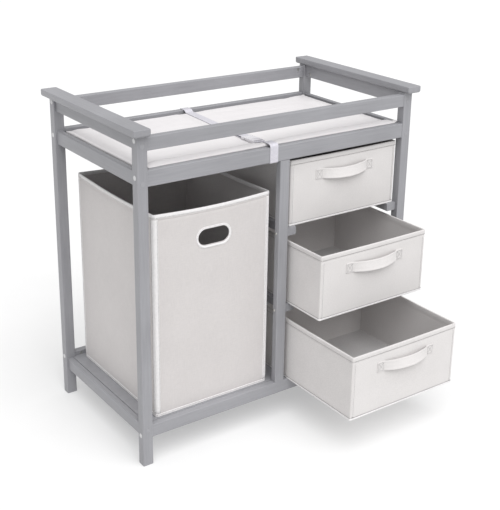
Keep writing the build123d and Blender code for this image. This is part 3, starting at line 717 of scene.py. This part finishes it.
def hamper():
    """Tall cloth hamper: woven shell, bound rim and hand hole, taped corners and a foot band."""
    low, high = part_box("hamper_body")
    wall = HAMPER_WALL
    box = FabricBox(low, high, HAMPER_R, 0.003, 0.006, 0.0012, 21.0)
    profile = wall_profile(low.z + LIFT, high.z, wall, 0.014, 0.011)
    shell = box.loft("hamper_shell", profile, HAMPER_CLOTH, 0.009)
    outward(shell)
    g_low, g_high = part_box("hamper_grip")
    middle, height = (g_low.x + g_high.x) / 2, (g_low.z + g_high.z) / 2
    hole = (g_high.x - g_low.x - 2 * GRIP_RIM, g_high.z - g_low.z - 2 * GRIP_RIM)
    outline = stadium(*hole)
    count = len(outline)
    verts = [(middle + a, low.y + s * 0.03, height + b) for s in (-1, 1) for a, b in outline]
    faces = ring_faces(2, count) + [tuple(reversed(range(count))), tuple(range(count, 2 * count))]
    cutter = outward(build("cutter", verts, faces, HAMPER_CLOTH, smooth=False))
    cut = shell.modifiers.new("hole", "BOOLEAN")
    cut.object, cut.operation, cut.solver = cutter, "DIFFERENCE", "EXACT"
    bake(shell)
    bpy.data.objects.remove(cutter)
    shell.data.set_sharp_from_angle(angle=math.radians(50))
    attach(shell, "hamper")
    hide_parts("hamper_body")

    rim_low, rim_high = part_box("hamper_rim_binding")
    top, over = rim_high.z, rim_high.x - high.x
    band = rim_high.z - rim_low.z
    section = [(0.0, top - band), (over, top - band + 0.0006), (over, top - band + 0.004)]
    section += [(over, top - 0.006), (over, top - 0.003), (over - 0.0004, top - 0.0012)]
    section += [(-0.0006, top - 0.0001)]
    section += [(-wall / 2, top), (-wall + 0.0006, top - 0.0001), (-wall - over + 0.0004, top - 0.0012)]
    section += [(-wall - over, top - 0.003), (-wall - over, top - band + 0.004)]
    section += [(-wall - over, top - band + 0.0006), (-wall, top - band)]
    section += [(-wall + 0.001, top - band + 0.002), (-0.001, top - band + 0.002)]
    rim = box.loft("hamper_rim_tape", section, BINDING, 0.007, closed=True)
    settle(rim, "hamper", "white_binding", "hamper_rim_binding")

    hem_low, hem_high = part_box("hamper_hem_band")
    section = band_profile(-0.001, over, hem_low.z + 0.0002, hem_high.z, 0.0008)
    foot = box.loft("hamper_foot_tape", section, BINDING, 0.007, closed=True)
    settle(foot, "hamper", "white_binding", "hamper_hem_band")

    tape_low, tape_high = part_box("hamper_corner_tapes")
    reach = CORNER_BAND - HAMPER_R
    arc = box.runs[1]
    tapes, start = [], 0.0
    rows = []
    for side in range(4):
        start += box.runs[2 * side]
        span = (start - reach, start + arc + reach)
        zs = (tape_low.z - 0.002, tape_high.z + 0.002)
        tapes.append(slab_on_wall(box, f"tape_{side}", span, zs, over, BINDING, steps=(0.0022, 0.011)))
        for u in (span[0] + 0.0022, span[1] - 0.0022):
            row = wall_row(box, u, 0, over + 0.0001, along_z=(tape_low.z, tape_high.z))
            rows.append(stitches("row", row, *BAND_STITCH, PAINTED_SHADE_THREAD))
        start += arc
    settle(join("hamper_corner_strips", tapes), "hamper", "white_binding", "hamper_corner_tapes")
    for z in (hem_high.z - 0.0022, rim_low.z + 0.0022):
        row = wall_row(box, (0, box.length), z, over + 0.0001)
        rows.append(stitches("row", row, *BAND_STITCH, PAINTED_SHADE_THREAD))

    rows.append(hand_hole(box, middle, height, hole))
    settle(join("hamper_stitching", rows), "hamper", "white_binding")
    dress("hamper_base_board", BOARD)


def hand_hole(box, middle, height, hole):
    """White binding rolled round the hand hole; gives back its row of stitches."""
    wall, rim, thick = HAMPER_WALL, GRIP_RIM, 0.0012
    section = [(rim, -0.0002), (rim - 0.0004, thick * 0.8), (rim * 0.6, thick), (rim * 0.2, thick)]
    section += [(-0.0006, thick * 0.6), (-0.0012, -wall * 0.3), (-0.0012, -wall * 0.7)]
    section += [(-0.0006, -wall - thick * 0.6), (rim * 0.2, -wall - thick), (rim * 0.6, -wall - thick)]
    section += [(rim - 0.0004, -wall - thick * 0.8), (rim, -wall + 0.0002), (rim * 0.5, -wall + 0.001)]
    section += [(rim * 0.5, -0.001)]
    outline = stadium(hole[0], hole[1], 56)
    count = len(outline)
    normals = []
    for i in range(count):
        (ax, az), (bx, bz) = outline[i - 1], outline[(i + 1) % count]
        length = math.hypot(bx - ax, bz - az) or 1
        normals.append(((bz - az) / length, -(bx - ax) / length))

    def spot(i, away, out):
        (x, z), (nx, nz) = outline[i % count], normals[i % count]
        along = middle + x + nx * away - box.low.x - box.radius
        return box.point(along, height + z + nz * away, out)

    verts = [spot(i, away, out) for i in range(count) for away, out in section]
    piece = build("hamper_hand_hole", verts, ring_faces(count, len(section), 0, True), BINDING)
    settle(piece, "hamper", "white_binding", "hamper_grip")
    steps = [0.0]
    for i in range(count):
        steps.append(steps[-1] + (spot(i + 1, rim * 0.7, thick) - spot(i, rim * 0.7, thick)).length)

    def place(t):
        t = t % steps[-1]
        i = max(k for k in range(count) if steps[k] <= t)
        part = (t - steps[i]) / ((steps[i + 1] - steps[i]) or 1)
        return spot(i, rim * 0.7, thick).lerp(spot(i + 1, rim * 0.7, thick), part), Vector((0, -1, 0))

    return stitches("row", (place, steps[-1]), *GRIP_STITCH, PAINTED_SHADE_THREAD)


for drawer_name in DRAWERS:
    drawer(drawer_name)
hamper()


# ---- changing pad --------------------------------------------------------------------------------
PAD_VOXEL = 0.0055
PAD_CAP = 0.006  # how far the filling may push the cover out
PAD_SHRINK = 0.0015  # it starts smaller, because the filling swells it
ROLL_UP = 0.014  # height of the roll along the front edge above the pad's flat top
ROLL_BACK = 0.029  # back of the roll's top
SLOPE_BACK = 0.055  # where the slope behind the roll meets the flat top


def pad_outline(low, high, lip):
    """Side view (y, z) of the pad: flat on the panel, with a roll over the front rail."""
    s = PAD_SHRINK
    rail_in = low.y + 0.019
    top = high.z - ROLL_UP
    return [
        (rail_in + s, low.z + s * 0.2),
        (high.y - s, low.z + s * 0.2),
        (high.y - s, top - 0.004),
        (high.y - 0.012, top - s),
        (low.y + SLOPE_BACK, top - s),
        (low.y + ROLL_BACK, high.z - s),
        (low.y + 0.009, high.z - s),
        (low.y + s, high.z - 0.004 - s),
        (low.y + s, lip + s * 0.2),
        (rail_in + s, lip + s * 0.2),
    ]


def inflate(obj):
    """Blows the cover up over its filling with a short cloth simulation, and applies it."""
    cloth_mod = obj.modifiers.new("filling", "CLOTH")
    settings = cloth_mod.settings
    settings.quality = 6
    settings.mass = 0.4
    settings.use_pressure = True
    settings.uniform_pressure_force = 4.0
    settings.tension_stiffness = settings.compression_stiffness = 12
    settings.bending_stiffness = 0.6
    settings.effector_weights.gravity = 0.0
    cloth_mod.collision_settings.use_collision = False
    cloth_mod.point_cache.frame_start, cloth_mod.point_cache.frame_end = 1, 20
    scene = bpy.context.scene
    for step in range(1, 21):
        scene.frame_set(step)
    bake(obj)
    scene.frame_set(1)


def pad():
    """The vinyl pad: filled and crowned, flat beneath, creased by the strap and along its roll."""
    low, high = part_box("changing_pad")
    rail_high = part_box("rail_lower_front")[1]
    lip = rail_high.z + 0.0003
    outline = pad_outline(low, high, lip)
    half = high.x - PAD_SHRINK
    count = len(outline)
    verts = [(sx * half, y, z) for sx in (-1, 1) for y, z in outline]
    faces = ring_faces(2, count) + [tuple(reversed(range(count))), tuple(range(count, 2 * count))]
    piece = outward(build("changing_pad_cover", verts, faces, VINYL))
    remesh = piece.modifiers.new("even", "REMESH")
    remesh.mode, remesh.voxel_size = "VOXEL", PAD_VOXEL
    bake(piece)
    rest = [v.co.copy() for v in piece.data.vertices]
    inflate(piece)
    for vertex, start in zip(piece.data.vertices, rest):
        move = vertex.co - start
        if move.length > PAD_CAP:
            vertex.co = start + move * (PAD_CAP / move.length)
    smooth = piece.modifiers.new("soft", "SMOOTH")
    smooth.factor, smooth.iterations = 0.5, 4
    finer = piece.modifiers.new("finer", "SUBSURF")
    finer.levels = finer.render_levels = 1
    bake(piece)
    strap_low, strap_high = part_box("strap_front")
    middle = (strap_low.x + strap_high.x) / 2
    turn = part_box("buckle_socket")[1].y
    for vertex in piece.data.vertices:
        vertex.co = creased(vertex.co.copy(), low, high, middle, turn, lip, rail_high)
    piece.data.polygons.foreach_set("use_smooth", [True] * len(piece.data.polygons))
    piece.data.materials.clear()
    piece.data.materials.append(VINYL)
    settle(piece, "frame", "pad_vinyl", "changing_pad")
    edge_piping(low, high)


def squared(a, b, reach):
    """Fills out a rounded edge: new depths below the two faces that meet there."""
    u, v = 1 - a / reach, 1 - b / reach
    if u <= 0 or v <= 0:
        return a, b
    scale = (u**4 + v**4) ** -0.25
    if scale <= 1:
        return a, b
    scale = 1 + (scale - 1) * min(1, 4 * u) * min(1, 4 * v)
    return reach * (1 - u * scale), reach * (1 - v * scale)


def creased(point, low, high, middle, turn, lip, rail):
    """Full ends, shallow wrinkles, the dent under the strap, and the limits set by the neighbours."""
    x, y, z = point
    if z > low.z + 0.008:
        down = min(1.0, max(0.0, (y - low.y - ROLL_BACK) / (SLOPE_BACK - ROLL_BACK)))
        top = high.z - PAD_SHRINK - (ROLL_UP - PAD_SHRINK) * down
        end, below = squared(high.x - abs(x), top - z, 0.012)
        end, back = squared(end, high.y - y, 0.016)
        x, y, z = math.copysign(high.x - end, x), high.y - back, top - below
    if z > high.z - 0.018:
        roll = max(0.0, min(1.0, (low.y + 0.05 - y) / 0.03))
        long_waves = noise.noise(Vector((x * 5, y * 60, 3.0))) * (0.0008 + 0.0012 * roll)
        ends = max(0.0, abs(x) - 0.30) / 0.12
        puckers = noise.noise(Vector((x * 45, y * 12, 9.0))) * 0.0012 * ends
        near = math.exp(-(((x - middle) / 0.075) ** 2))
        pull = noise.noise(Vector((x * 26, y * 9, 5.0))) * 0.0016 * near
        z += long_waves + puckers + pull
        drift = max(0.0, y - turn) * 0.06
        gap = abs(x - middle - drift)
        press = 1.0 - min(1.0, max(0.0, (gap - 0.0205) / 0.03))
        part = min(1.0, max(0.0, (y - low.y - 0.034) / 0.028))
        limit = high.z - 0.0002 - 0.0141 * part
        if press > 0 and z > limit:
            z = limit * press + z * (1 - press)
    x = max(low.x - 0.0006, min(high.x + 0.0006, x))
    y = max(low.y, min(high.y + 0.001, y))
    over_rail = y < rail.y + 0.0012
    z = max(z, (lip if over_rail else low.z))
    z = min(z, high.z + 0.003)
    return Vector((x, y, z))


def tube(name, points, radius, material, around=10, closed=True):
    """A round cord along points, in a frame carried smoothly along it."""
    count = len(points)
    verts = []
    side = None
    for i in range(count):
        way = (points[(i + 1) % count] - points[i - 1]).normalized()
        if not closed and i in (0, count - 1):
            way = (points[min(i + 1, count - 1)] - points[max(i - 1, 0)]).normalized()
        side = way.cross(Vector((0, 0, 1)) if side is None else side.cross(way)).normalized()
        other = way.cross(side)
        for k in range(around):
            a = 2 * math.pi * k / around
            verts.append(points[i] + side * (radius * math.cos(a)) + other * (radius * math.sin(a)))
    faces = ring_faces(count, around, 0, closed)
    if not closed:
        faces += [tuple(reversed(range(around))), tuple(range((count - 1) * around, count * around))]
    return build(name, verts, faces, material)


def edge_piping(low, high):
    """A welted seam half way up the pad's ends and back."""
    x, front, side_z = high.x - 0.0002, low.y + 0.022, low.z + 0.010
    corners = [(x - 0.006, front, side_z), (x, front + 0.004, side_z), (x, high.y, side_z)]
    corners += [(-x, high.y, side_z), (-x, front + 0.004, side_z), (-x + 0.006, front, side_z)]
    path = rounded([Vector(c) for c in corners], 0.004, 0.012)
    for point in path:
        point.z += 0.0004 * noise.noise(Vector((point.x * 30, point.y * 30, 2.0)))
    settle(tube("changing_pad_piping", path, 0.0014, VINYL, closed=False), "frame", "pad_vinyl")


def rounded(corners, radius, step, closed=False):
    """A polyline with its corners rounded off and its runs divided, as points."""
    path = []
    count = len(corners)
    for i, corner in enumerate(corners):
        if not closed and i in (0, count - 1):
            path.append(corner.copy())
            continue
        before, after = corners[i - 1], corners[(i + 1) % count]
        cut = radius if not isinstance(radius, (list, tuple)) else radius[i]
        back = (before - corner).normalized() * min(cut, (before - corner).length * 0.45)
        on = (after - corner).normalized() * min(cut, (after - corner).length * 0.45)
        for k in range(7):
            t = k / 6
            path.append(corner + back * (1 - t) ** 2 + on * t**2)
    full = []
    pairs = zip(path, path[1:] + path[:1]) if closed else zip(path, path[1:])
    for a, b in pairs:
        pieces = max(1, round((b - a).length / step))
        full += [a.lerp(b, k / pieces) for k in range(pieces)]
    if not closed:
        full.append(path[-1])
    return full


# ---- safety strap --------------------------------------------------------------------------------
STRAP_SKEW = 0.06  # sideways drift of the back strap towards the back rail
STRAP_STITCH = (0.0034, 0.0026, 0.0004)
CROSS_STITCH = (0.0032, 0.0025, 0.0004)


def webbing_section(width, thick, ribs=9):
    """Section (across, out) of webbing: lengthwise ribs between two firmer edges."""
    half = width / 2
    upper = []
    steps = ribs * 4
    for k in range(steps + 1):
        a = -half * 0.96 + 2 * half * 0.96 * k / steps
        edge = 1.0 if abs(a) > half * 0.84 else 0.84 + 0.10 * math.cos(2 * math.pi * ribs * k / steps)
        upper.append((a, thick / 2 * edge))
    lower = [(a, -o) for a, o in reversed(upper)]
    return upper + [(half, 0.0)] + lower + [(-half, 0.0)]


def webbing(name, points, cut, origin, skew, node):
    """Webbing along (y, z) points; gives back all its stations."""
    width, thick = 0.027, 0.0015
    path = rounded([Vector((0, y, z)) for y, z in points], cut, 0.004)
    stations, travelled = [], 0.0
    for i, point in enumerate(path):
        before, after = path[max(i - 1, 0)], path[min(i + 1, len(path) - 1)]
        way = (after - before).normalized()
        out = Vector((0, -way.z, way.y))
        if i:
            travelled += (point - path[i - 1]).length
        drift = skew * (point.y - origin.y)
        sway = 0.0006 * noise.noise(Vector((travelled * 14, 4.0, 0)))
        x = origin.x + drift + sway
        stations.append((Vector((x, point.y, point.z)), Vector((1, 0, 0)), out))
    piece = sweep_strip(name, stations, webbing_section(width, thick), WEBBING)
    settle(piece, "frame", "webbing", node)
    return stations


def strap_rows(stations, offset, first, last):
    """Stitch path along a strap, at an offset from its middle, between two shares of its length."""
    chosen = stations[round(first * (len(stations) - 1)) : round(last * (len(stations) - 1)) + 1]
    lift = 0.0008
    points = [p + across * offset + out * lift for p, across, out in chosen]
    lengths = [0.0]
    for a, b in zip(points, points[1:]):
        lengths.append(lengths[-1] + (b - a).length)

    def place(t):
        t = min(t, lengths[-1] - 1e-6)
        i = max(k for k in range(len(points) - 1) if lengths[k] <= t)
        part = (t - lengths[i]) / (lengths[i + 1] - lengths[i])
        return points[i].lerp(points[i + 1], part), chosen[i][2]

    return place, lengths[-1]


def strap():
    """Two lengths of webbing: back rail to buckle, and buckle over the roll and down the front rail."""
    pad_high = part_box("changing_pad")[1]
    rail_low, rail_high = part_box("rail_lower_front")
    back_low, back_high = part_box("rail_lower_back")
    front_box, rear_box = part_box("strap_front"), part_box("strap_back")
    half_t = 0.0008
    gap = 0.0003 + half_t
    flat = pad_high.z - ROLL_UP + gap
    loop = flat + 0.0056
    origin = Vector(((front_box[0].x + front_box[1].x) / 2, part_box("buckle_socket")[1].y + 0.0035, 0))
    plug_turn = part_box("buckle_plug")[0].y + 0.0048
    over = pad_high.z + gap + 0.0004
    face, under = rail_low.y - gap, rail_low.z - gap
    front_points = [
        (plug_turn - 0.010, loop),
        (plug_turn, loop),
        (plug_turn, flat),
        (rail_high.y + 0.0443, flat),
        (rail_high.y + 0.0118, over),
        (rail_low.y + 0.005, over),
        (face, pad_high.z - 0.003),
        (face, under),
        (rail_high.y - 0.003, under),
    ]
    front = webbing("safety_strap_front", front_points, 0.0034, origin, 0.0, "strap_front")
    rear_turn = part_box("buckle_socket")[1].y - 0.0017 - 0.0028 + 0.0007
    rear_points = [
        (back_high.y + gap, rear_box[0].z),
        (back_high.y + gap, back_high.z + gap),
        (back_low.y - 0.005, back_high.z + gap),
        (back_low.y - 0.015, flat),
        (rear_turn, flat),
        (rear_turn, loop),
        (rear_turn + 0.038, loop - 0.0015),
    ]
    rear = webbing("safety_strap_back", rear_points, 0.0028, origin, STRAP_SKEW, "strap_back")
    rows = []
    for stations, spans in ((front, ((0.55, 0.97),)), (rear, ((0.0, 0.085), (0.86, 0.985)))):
        for first, last in spans:
            for side in (-1, 1):
                path = strap_rows(stations, side * 0.0108, first, last)
                rows.append(stitches("row", path, *STRAP_STITCH, STRAP_THREAD))
    front_y = face - half_t
    x0, x1 = origin.x - 0.0105, origin.x + 0.0105
    z0, z1 = rail_low.z + 0.004, rail_low.z + 0.018
    for za, zb in ((z0, z0), (z1, z1), (z0, z1), (z1, z0)):
        row = line_row((x0, front_y, za), (x1, front_y, zb), (0, -1, 0))
        rows.append(stitches("row", row, *CROSS_STITCH, STRAP_THREAD))
    settle(join("safety_strap_stitching", rows), "frame", "webbing")


pad()
strap()


# ---- camera, light and floor ---------------------------------------------------------------------
AZIMUTH = -35.51
ELEVATION = 19.37
ROLL = 0.91
DISTANCE = 2.908
AIM = Vector((0.0167, -0.060, 0.606))
PICTURE_W = 510.0  # long side of the picture, in pixels
FOCAL_PX = 1006.0
SENSOR = 36.0
RISE = -0.10  # lens shift


def point_camera():
    az, el = math.radians(AZIMUTH), math.radians(ELEVATION)
    back = Vector((math.sin(az) * math.cos(el), -math.cos(az) * math.cos(el), math.sin(el)))
    data = bpy.data.cameras.new("camera")
    data.sensor_width = SENSOR
    data.lens = FOCAL_PX * SENSOR / PICTURE_W
    data.shift_y = RISE
    data.clip_start, data.clip_end = 0.05, 50
    cam = bpy.data.objects.new("camera", data)
    bpy.context.scene.collection.objects.link(cam)
    cam.location = AIM + back * DISTANCE
    facing = (-back).to_track_quat("-Z", "Y")
    cam.rotation_mode = "QUATERNION"
    cam.rotation_quaternion = facing @ Euler((0, 0, math.radians(ROLL))).to_quaternion()
    bpy.context.scene.camera = cam


def soft_sun(name, towards, irradiance):
    """A very large distant lamp in the given direction, for soft even light."""
    data = bpy.data.lights.new(name, "SUN")
    data.angle = math.radians(60)
    data.energy = irradiance * math.pi
    lamp = bpy.data.objects.new(name, data)
    bpy.context.scene.collection.objects.link(lamp)
    lamp.location = Vector(towards) * 4
    lamp.rotation_mode = "QUATERNION"
    lamp.rotation_quaternion = Vector(towards).to_track_quat("Z", "Y")


def studio():
    world = bpy.data.worlds.new("studio")
    world.use_nodes = True
    world.node_tree.nodes["Background"].inputs["Color"].default_value = (1, 1, 1, 1)
    world.node_tree.nodes["Background"].inputs["Strength"].default_value = 0.6
    bpy.context.scene.world = world
    soft_sun("key", (-0.10, -0.50, 0.86), 0.92)
    m = Shade("floor_paper", 0.95, 0.1)
    m.colour(m.blend(m.spread(m.noise(3, 2), 0.3, 0.7, 0, 1), (0.50,) * 3, (0.52,) * 3))
    m.shader.inputs["Emission Color"].default_value = (1, 1, 1, 1)
    m.shader.inputs["Emission Strength"].default_value = 0.35
    half = 30.0
    corners = [(-half, -half, 0), (half, -half, 0), (half, half, 0), (-half, half, 0)]
    build("floor", corners, [(0, 1, 2, 3)], m.mat, smooth=False)
    bpy.context.scene.view_settings.view_transform = "Standard"


point_camera()
studio()
